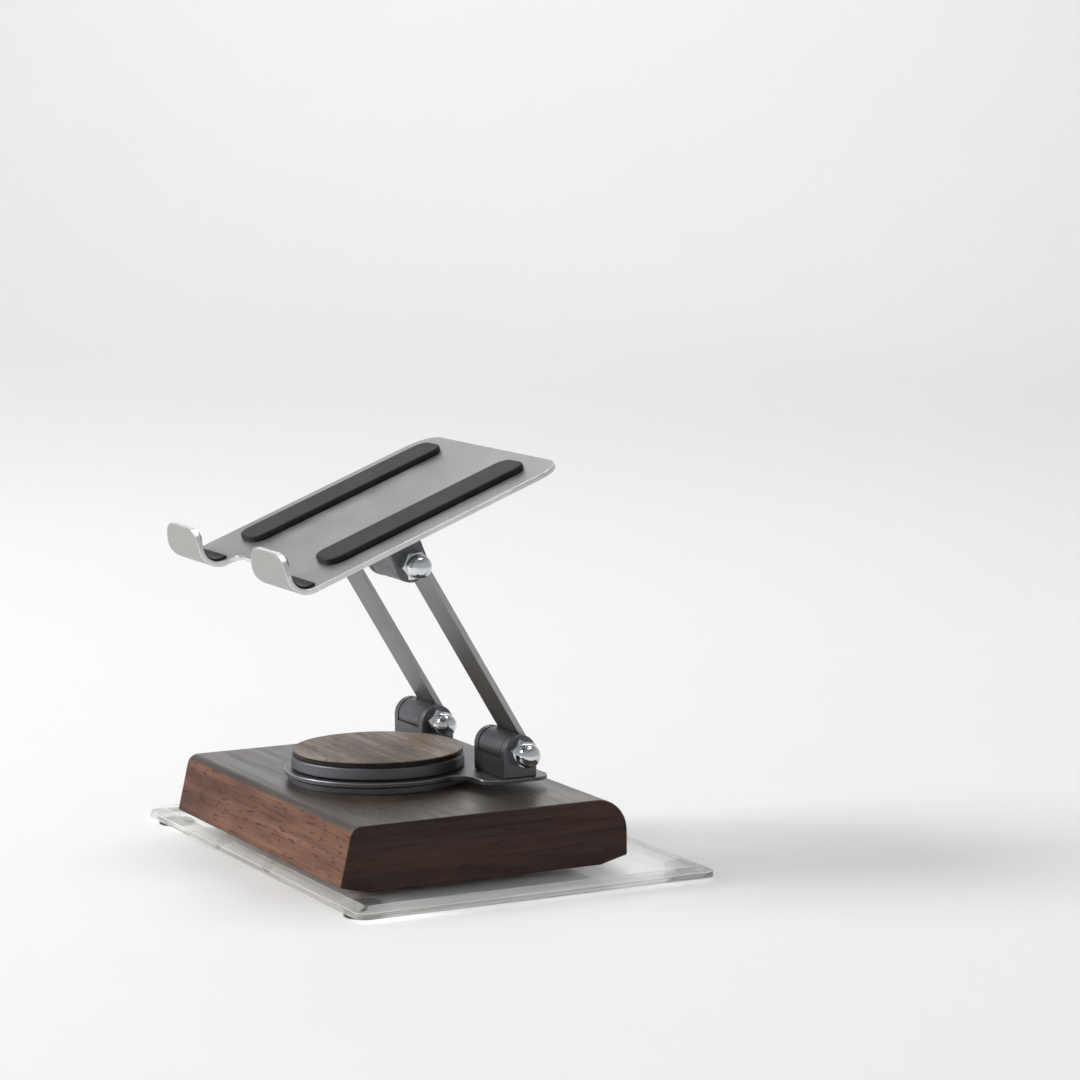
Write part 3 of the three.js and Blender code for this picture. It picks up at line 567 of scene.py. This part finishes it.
def build_clear_plate():
    """A clear plate with a wide polished bevel round its top."""
    width, depth, thickness = size_mm("clear_base_plate")
    corner = CLEAR_PLATE["corner"]
    levels = [(0, 0), (0, thickness - CLEAR_PLATE["bevel_drop"]), (CLEAR_PLATE["bevel_run"], thickness)]
    bm = bmesh.new()
    loops = []
    for inset, z in levels:
        outline = round_rectangle(width / 2 - inset, depth / 2 - inset, corner)
        loops.append([bm.verts.new((px, py, z)) for px, py in outline])
    for low, high in zip(loops, loops[1:]):
        for i in range(len(low)):
            bm.faces.new((low[i - 1], low[i], high[i], high[i - 1]))
    bm.faces.new(loops[0][::-1])
    bm.faces.new(loops[-1])
    body = make_object("clear_plate_body", bm)
    # The side, the bevel and the rounded edges get the materials with painted reflections and the painted
    # highlight.
    for material in (ACRYLIC, ACRYLIC_SIDE_PAINTED_REFLECTIONS, ACRYLIC_BEVEL_PAINTED_REFLECTIONS, ACRYLIC_LINE_PAINTED_HIGHLIGHT):
        body.data.materials.append(material)
    paint(body, 1, lambda centre, normal: abs(normal.z) < 0.1)
    paint(body, 2, lambda centre, normal: 0.1 <= normal.z < 0.96)
    plate = soften(body, CLEAR_PLATE["edge"], 2, 20, material=3)
    settle(plate, on_middle("clear_base_plate"), "base", "clear_base_plate")
    plate.visible_shadow = False


def build_bond_film():
    """A thin clear sheet with round corners between the block and the plate."""
    width, depth, thickness = size_mm("bond_film")
    outline = round_rectangle(width / 2, depth / 2, BOND_FILM["corner"])
    film = prism("bond_film_sheet", outline, 0, thickness)
    settle(film, on_middle("bond_film"), "base", "bond_film", [FILM])
    film.visible_shadow = False


def build_feet():
    """Round rubber feet with a pale adhesive face on top."""
    for end in ("front", "back"):
        for side in SIDES:
            node = f"foot_{end}_{side}"
            width, _, height = size_mm(node)
            radius = width / 2
            profile = fillet([
                (0, FOOT["hollow"]), (radius * FOOT["hollow_share"], FOOT["hollow"]),
                (radius * FOOT["rim_share"], 0, FOOT["rim_radius"]), (radius, 0, FOOT["low_radius"]),
                (radius, height, FOOT["high_radius"]), (0, height),
            ], closed=False, steps=5)
            foot = turned(f"{node}_pad", profile, 64)
            settle(foot, on_middle(node), "base", node, [RUBBER, ADHESIVE])
            paint(foot, 1, lambda centre, normal: normal.z > 0.9 and centre.z > height / 2 * MM)


def build_turned(node, body, material, profile, hollow=True):
    """A turned piece on the swivel's axis, its profile in millimetres from the node's underside."""
    piece = turned(f"{node}_body", fillet(profile, closed=hollow, steps=4), 160, hollow)
    return settle(piece, on_axis(node), body, node, [material])


def build_discs():
    """The lower disc, the tape ring, the cap ring and the walnut disc on top of it."""
    width, _, height = size_mm("lower_disc")
    bore, radius = BOLT_POCKET["hole_radius"], width / 2
    build_turned("lower_disc", "base", DARK_METAL, [
        (bore, 0), (radius, 0, LOWER_DISC["low_radius"]), (radius, height, LOWER_DISC["high_radius"]),
        (bore, height),
    ])
    width, _, height = size_mm("cap_tape_ring")
    bore, radius = TAPE_RING["inner"], width / 2
    build_turned("cap_tape_ring", "swivel", FOAM,
                 [(bore, 0), (radius, 0), (radius, height), (bore, height)])
    width, _, height = size_mm("cap_ring")
    bore, radius = CAP_RING["inner"], width / 2
    build_turned("cap_ring", "swivel", DARK_METAL, [
        (bore, 0), (radius, 0, CAP_RING["low_radius"]), (radius, height, CAP_RING["high_radius"]),
        (bore, height),
    ])
    width, _, height = size_mm("walnut_inlay")
    radius = width / 2
    inlay = build_turned("walnut_inlay", "swivel", WALNUT_DISC, [
        (0, 0), (radius, 0, INLAY["low_radius"]), (radius, height, INLAY["high_radius"]),
        (radius - INLAY["rim"], height), (0, height),
    ], hollow=False)
    # Painted shade: the disc's side and underside get the near-black copy of the walnut.
    inlay.data.materials.append(WALNUT_RIM_PAINTED_SHADE)
    paint(inlay, 1, lambda centre, normal: normal.z < 0.5)


# ---- swivel plate ----------------------------------------------------------------------------

def swivel_outline():
    """A disc that widens behind into a tail for the two lugs, through two concave waists."""
    radius, waist, corner = SWIVEL_PLATE["radius"], SWIVEL_PLATE["waist"], SWIVEL_PLATE["corner"]
    front, back = SWIVEL_PLATE["tail_front"], SWIVEL_PLATE["tail_back"]
    half = SWIVEL_PLATE["tail_half_width"]
    waist_y = front - waist
    waist_x = math.sqrt((radius + waist) ** 2 - waist_y ** 2)
    angle = math.degrees(math.atan2(waist_y, waist_x))
    right = arc((waist_x, waist_y), waist, angle - 180, -270)
    right += arc((half - corner, front + corner), corner, -90, 0)
    right += arc((half - corner, back - corner), corner, 0, 90)
    left = [(-x, y) for x, y in reversed(right)]
    return arc((0, 0), radius, 180 - angle, 360 + angle, 120) + right[1:] + left[:-1]


def build_swivel_plate():
    """The dark plate that turns on the lower disc, with pale edges where it is cut."""
    thickness = size_mm("swivel_plate").z
    plate = prism("swivel_plate_body", swivel_outline(), 0, thickness)
    boolean(plate, [rod(SWIVEL_PLATE["bore"], -RUN_OUT, thickness + RUN_OUT)], "DIFFERENCE")
    plate.data.materials.append(DARK_METAL)
    plate.data.materials.append(DARK_METAL_EDGE)
    soften(plate, SWIVEL_PLATE["edge"], 3, 35, material=1)
    settle(plate, on_axis("swivel_plate"), "swivel", "swivel_plate")


# ---- hinges ----------------------------------------------------------------------------------

def lug_mesh(name, width, depth):
    """A clevis with a round top. Its front wall wraps round the arm's eye; behind the pin it is open."""
    radius = depth / 2
    pin = LUG["pin_height"]
    outline = [(-radius, 0), (radius, 0)] + arc((0, pin), radius, 0, 180, 32)
    lug = soften(prism(name, outline, -width / 2, width / 2, "x"), LUG["edge"], 4, 50)
    half_slot = LUG["slot_width"] / 2
    top_slot = box_cutter((-half_slot, -depth, pin), (half_slot, depth, pin + depth))
    rear_slot = box_cutter((-half_slot, 0, LUG["floor"]), (half_slot, depth, pin + depth))
    eye_pocket = rod(ARM["eye_radius"] + LUG["eye_gap"], -half_slot, half_slot, 96, axis="x")
    bore = rod(BORE_RADIUS, -width, width, axis="x")
    for tool in (eye_pocket, bore):
        tool.data.transform(Matrix.Translation((0, 0, pin)))
    boolean(lug, [rear_slot, top_slot, eye_pocket, bore], "DIFFERENCE")
    return soften(lug, LUG["slot_edge"], 2, 50)


def bolt_mesh(name, width):
    """A button-head bolt along X with a hexagon socket; its head is on the -X side."""
    face = -width / 2
    head, radius = BOLT["head_radius"], BOLT["radius"]
    top = face - BOLT["head_height"]
    crown, chamfer = BOLT["crown"], BOLT["point_chamfer"]
    shoulder = arc((crown, face), BOLT["head_height"], -90, -5, 10)
    profile = [(0, top), (crown, top)] + shoulder
    profile = [(r, z) for r, z in profile if r <= head] + [(head, face), (radius, face)]
    end = width / 2 + BOLT["reach"]
    profile += [(radius, end - chamfer), (radius - chamfer, end), (0, end)]
    bolt = turned(name, profile, 64)
    socket = prism("cutter", hexagon(BOLT["socket"]), top - RUN_OUT, top + BOLT["socket_depth"])
    boolean(bolt, [socket], "DIFFERENCE")
    bolt.data.transform(Matrix.Rotation(math.pi / 2, 4, "Y"))
    return soften(bolt, BOLT["edge"], 2, 40)


def nut_mesh(name):
    """A domed cap nut along X, seated on X = 0, with chamfered hexagon corners."""
    height, collar = NUT["hex_height"], NUT["collar"]
    corner = NUT["across_flats"] / math.sqrt(3)
    flat = NUT["across_flats"] / 2
    nut = prism(name, hexagon(NUT["across_flats"]), 0, height)
    outside, seat_slope, top_chamfer, top_radius = corner + 0.02, 0.6, 0.45, flat * 0.97
    cone = [(0, 0), (flat, 0), (outside, (corner - flat) * seat_slope), (outside, height - top_chamfer),
            (top_radius, height), (0, height)]
    boolean(nut, [turned("cutter", cone, 96)], "INTERSECT")
    dome = NUT["dome_radius"]
    top = NUT["height"] - dome
    profile = [(0, collar), (dome, collar), (dome, top)] + arc((0, top), dome, 0, 90, 20)[1:]
    boolean(nut, [turned("cutter", profile, 72)], "UNION")
    boolean(nut, [rod(BORE_RADIUS, -RUN_OUT, NUT["bore_depth"])], "DIFFERENCE")
    nut.data.transform(Matrix.Rotation(math.pi / 2, 4, "Y"))
    return soften(nut, NUT["edge"], 2, 25)


def washer_mesh(name, x, thickness, radius):
    """A thin washer along X that starts at x."""
    end = x + thickness
    ring = turned(name, [(BORE_RADIUS, x), (radius, x), (radius, end), (BORE_RADIUS, end)], 64, hollow=True)
    ring.data.transform(Matrix.Rotation(math.pi / 2, 4, "Y"))
    return ring


def build_hinge(prefix, side, place, body, turn=0):
    """One lug with its bolt, cap nut and friction washers; place stands the lug's seat on z = 0."""
    lug_node = f"{prefix}_lug_{side}"
    width = size_mm(lug_node).x
    depth = size_mm("base_lug_left").y
    pin = place @ at(0, 0, LUG["pin_height"] * MM)
    lug_place = place @ Matrix.Rotation(turn, 4, "Z")
    lug = lug_mesh(f"{lug_node}_body", width, depth)
    settle(lug, lug_place, body, lug_node, [DARK_METAL])
    bolt_node = f"{prefix}_hinge_bolt_{side}"
    settle(bolt_mesh(f"{bolt_node}_body", width), pin, body, bolt_node, [STEEL])
    nut_node = f"{prefix}_acorn_nut_{side}"
    nut_place = pin @ at(width / 2 * MM, 0, 0) @ Matrix.Rotation(math.radians(NUT["turn"]), 4, "X")
    settle(nut_mesh(f"{nut_node}_body"), nut_place, body, nut_node, [CHROME])
    for i in (1, 2):
        node = f"{prefix}_friction_washer_{side}_{i}"
        x = (middle(node).x - pin.translation.x) / MM - WASHER["thickness"] / 2
        ring = washer_mesh(f"{node}_ring", x, WASHER["thickness"], WASHER["radius"])
        settle(ring, pin, body, node, [NYLON])


def build_hinges():
    """The lower hinges on the swivel plate and the upper ones, upside down, under the holder."""
    for side in SIDES:
        x = middle(f"base_lug_{side}").x
        seat = at(x, lower_pin.y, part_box("swivel_plate")[1].z)
        build_hinge("base", side, seat, "swivel")
        flipped = at(0, 0, LUG["pin_height"] * MM) @ Matrix.Rotation(math.pi, 4, "X")
        build_hinge("holder", side, holder_frame(x) @ flipped, "holder", math.pi)


# ---- arms ------------------------------------------------------------------------------------

def build_arms():
    """Flat bars with a round eye at each end; the eyes are finished like the lugs."""
    length = (upper_pin - lower_pin).length / MM
    radius, thickness, bore_reach = ARM["eye_radius"], ARM["thickness"], 20
    bite = math.degrees(math.acos((radius - thickness) / radius))
    outline = arc((0, 0), radius, bite, 360, 72) + arc((0, length), radius, 0, 360 - bite, 72)
    for side in SIDES:
        node = f"arm_{side}"
        arm = prism(f"{node}_bar", outline, -ARM["width"] / 2, ARM["width"] / 2, "x")
        bores = [rod(BORE_RADIUS, -bore_reach, bore_reach, axis="x") for _ in range(2)]
        bores[1].data.transform(Matrix.Translation((0, 0, length)))
        boolean(arm, bores, "DIFFERENCE")
        for material in (ARM_METAL, ARM_EDGE, DARK_METAL):
            arm.data.materials.append(material)
        soften(arm, ARM["edge"], 3, 35)
        paint(arm, 1, lambda centre, normal: abs(normal.x) > 0.5)
        for height in (0, length):
            paint(arm, 2, lambda centre, normal: math.hypot(centre.y, centre.z - height) < radius + 0.05)
        place = at(middle(node).x, lower_pin.y, lower_pin.z) @ Matrix.Rotation(arm_lean, 4, "X")
        settle(arm, place, "arms", node)


# ---- holder ----------------------------------------------------------------------------------

def bend_hook(obj, rows=34):
    """Bends a flat tab round the tablet's lower edge. Its z is measured from the back of the sheet."""
    neutral = HOOK["bend_radius"] - HOLDER["sheet"] / 2
    start = HOOK["bend_y"]
    bent_length = tab_length(0)
    bm = bmesh.new()
    bm.from_mesh(obj.data)
    for i in range(rows + 1):
        cut = (0, start - bent_length * i / rows, 0)
        everything = list(bm.verts) + list(bm.edges) + list(bm.faces)
        bmesh.ops.bisect_plane(bm, geom=everything, plane_co=cut, plane_no=(0, 1, 0), dist=1e-4)
    for vertex in bm.verts:
        along = start - vertex.co.y
        if along <= 0:
            vertex.co.z += HOLDER["back"]
            continue
        turn = min(along, bent_length) / neutral
        radius = HOOK["bend_radius"] - vertex.co.z
        angle = 1.5 * math.pi - turn
        beyond = max(0.0, along - bent_length)
        y = start + radius * math.cos(angle) + beyond * math.sin(angle)
        z = HOLDER["back"] + HOOK["bend_radius"] + radius * math.sin(angle) - beyond * math.cos(angle)
        vertex.co.y, vertex.co.z = y, z
    bm.to_mesh(obj.data)
    bm.free()
    return obj


def tab_length(lip):
    """The flat length of the bend and of the lip beyond it."""
    neutral = HOOK["bend_radius"] - HOLDER["sheet"] / 2
    return neutral * math.radians(HOOK["bend_degrees"]) + lip


def build_holder_plate():
    """One sheet: a plate with two tabs, bent into hooks for the tablet's lower edge."""
    half = size_mm("holder_plate").x / 2
    top = holder_top_mm()
    tip = HOOK["bend_y"] - tab_length(HOOK["lip"])
    inner = half - HOOK["width"]
    corner, lip = HOLDER["corner"], HOOK["lip_corner"]
    notch, edge = HOLDER["notch_radius"], HOLDER["notch_edge"]
    outline = fillet([
        (half, top, corner), (-half, top, corner), (-half, tip, lip), (-inner, tip, lip),
        (-inner, edge, notch), (inner, edge, notch), (inner, tip, lip), (half, tip, lip),
    ], steps=12)
    plate = prism("holder_plate_body", outline, 0, HOLDER["sheet"])
    plate.data.materials.append(SILVER)
    plate.data.materials.append(SILVER_EDGE)
    soften(plate, HOLDER["edge"], 3, 40, material=1)
    paint(plate, 1, lambda centre, normal: abs(normal.z) < 0.5)
    bend_hook(plate)
    settle(plate, holder_frame(axis_x), "holder", "holder_plate")


def holder_top_mm():
    """How far the plate's upper edge is from the upper pin, along the slope."""
    low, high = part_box("holder_plate")
    back_rise = (HOLDER["back"] + HOLDER["sheet"]) * math.cos(holder_tilt)
    return ((high.z - upper_pin.z) / MM - back_rise) / math.sin(holder_tilt)


def build_face_pad(side):
    """A long silicone pad on the plate."""
    node = f"face_pad_{side}"
    width, run, _ = size_mm(node)
    thickness = FACE_PAD["thickness"]
    length = (run - thickness * math.sin(holder_tilt)) / math.cos(holder_tilt)
    outline = round_rectangle(width / 2, length / 2, FACE_PAD["corner"])
    pad = soften(prism(f"{node}_sheet", outline, 0, thickness), FACE_PAD["edge"], 4, 40)
    centre = holder_frame(axis_x).inverted() @ middle(node)
    seat = (HOLDER["back"] + HOLDER["sheet"] + FACE_GAP) * MM
    place = holder_frame(middle(node).x) @ at(0, centre.y, seat)
    settle(pad, place, "holder", node, [SILICONE])


def build_hook_pad(side):
    """A silicone lining inside a hook, bent like the hook."""
    node = f"hook_pad_{side}"
    half = HOOK_PAD["width"] / 2
    tip = HOOK["bend_y"] - tab_length(HOOK_PAD["lip"])
    start = HOOK["bend_y"] + HOOK_PAD["start"]
    low, high = HOOK_PAD["tip_corner"], HOOK_PAD["start_corner"]
    outline = fillet([(-half, tip, low), (half, tip, low), (half, start, high), (-half, start, high)])
    inner_face = HOLDER["sheet"] + FACE_GAP
    lining = prism(f"{node}_sheet", outline, inner_face, inner_face + HOOK_PAD["thickness"])
    soften(lining, HOOK_PAD["edge"], 3, 40)
    bend_hook(lining)
    settle(lining, holder_frame(middle(node).x), "holder", node, [SILICONE])


def build_pads():
    for side in SIDES:
        build_face_pad(side)
        build_hook_pad(side)


# ---- studio ----------------------------------------------------------------------------------

def build_floor():
    """A pale floor that curves up into a wall all round."""
    floor_radius, cove, segments = STUDIO["floor_radius"], STUDIO["cove"], STUDIO["segments"]
    profile = [(0, 0), (floor_radius, 0)]
    profile += arc((floor_radius, cove), cove, -90, 0, 24)[1:] + [(floor_radius + cove, STUDIO["wall"])]
    bm = bmesh.new()
    rings = []
    for radius, height in profile:
        angles = [2 * math.pi * i / segments for i in range(segments)]
        circle = [(radius * math.cos(a), radius * math.sin(a), height) for a in angles]
        rings.append([bm.verts.new(point) for point in circle])
    for low, high in zip(rings, rings[1:]):
        for i in range(segments):
            bm.faces.new((low[i - 1], low[i], high[i], high[i - 1]))
    studio = make_object("studio_floor", bm)
    studio.data.polygons.foreach_set("use_smooth", [True] * len(studio.data.polygons))
    studio.location = (0, 0, -STUDIO["below_feet"])
    paper = new_material("studio_paper", Roughness=0.9)
    cloud = noise(paper, (1.5, 1.5, 1.5), 2, 0.5)
    tint = ramp(paper, cloud, (0.3, (0.80, 0.80, 0.795)), (0.7, (0.82, 0.82, 0.82)))
    connect(paper, tint, "Base Color")
    studio.data.materials.append(paper)


def build_lights():
    """A faint even sky and three soft round lamps: name, place, aim, size, power and colour."""
    world = bpy.data.worlds.new("studio")
    world.use_nodes = True
    background = world.node_tree.nodes["Background"]
    background.inputs["Color"].default_value = (0.93, 0.95, 1.0, 1)
    background.inputs["Strength"].default_value = 0.28
    bpy.context.scene.world = world
    bpy.context.scene.view_settings.view_transform = "Standard"

    stand = Vector((axis_x, axis_y, 0.04))
    far_floor = Vector((-2.4, 1.25, 0))
    lights = [
        ("key", (-0.75, -1.35, 1.15), stand, 0.8, 25, (1.0, 0.975, 0.94)),
        ("top", (-0.2, 0.15, 1.9), stand, 1.2, 16, (0.97, 0.985, 1.0)),
        ("backdrop", (-2.0, 1.0, 1.5), far_floor, 1.2, 10, (0.98, 0.99, 1.0)),
    ]
    for name, place, aim, size, power, colour in lights:
        light = bpy.data.lights.new(name, "AREA")
        light.shape = "DISK"
        light.size = size
        light.energy = power
        light.color = colour
        lamp = bpy.data.objects.new(name, light)
        lamp.location = place
        lamp.rotation_euler = (aim - Vector(place)).to_track_quat("-Z", "Y").to_euler()
        bpy.context.scene.collection.objects.link(lamp)


def build_camera():
    """A long lens that looks at the stand from its right and a little above."""
    azimuth, pitch, roll = (math.radians(CAMERA[key]) for key in ("azimuth", "pitch", "roll"))
    data = bpy.data.cameras.new("camera")
    data.lens = CAMERA["lens"]
    data.clip_start, data.clip_end = 0.05, 20
    camera = bpy.data.objects.new("camera", data)
    turn = Matrix.Rotation(azimuth, 4, "Z") @ Matrix.Rotation(math.pi / 2 + pitch, 4, "X")
    turn = turn @ Matrix.Rotation(roll, 4, "Z")
    origin = Vector((axis_x, axis_y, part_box("walnut_block")[1].z))
    camera.matrix_world = Matrix.Translation(origin + Vector(CAMERA["offset"])) @ turn
    bpy.context.scene.collection.objects.link(camera)
    bpy.context.scene.camera = camera


# ---- everything ------------------------------------------------------------------------------

repaint_cad_nodes()
build_block()
build_clear_plate()
build_bond_film()
build_feet()
build_discs()
build_swivel_plate()
build_hinges()
build_arms()
build_holder_plate()
build_pads()
build_floor()
build_lights()
build_camera()
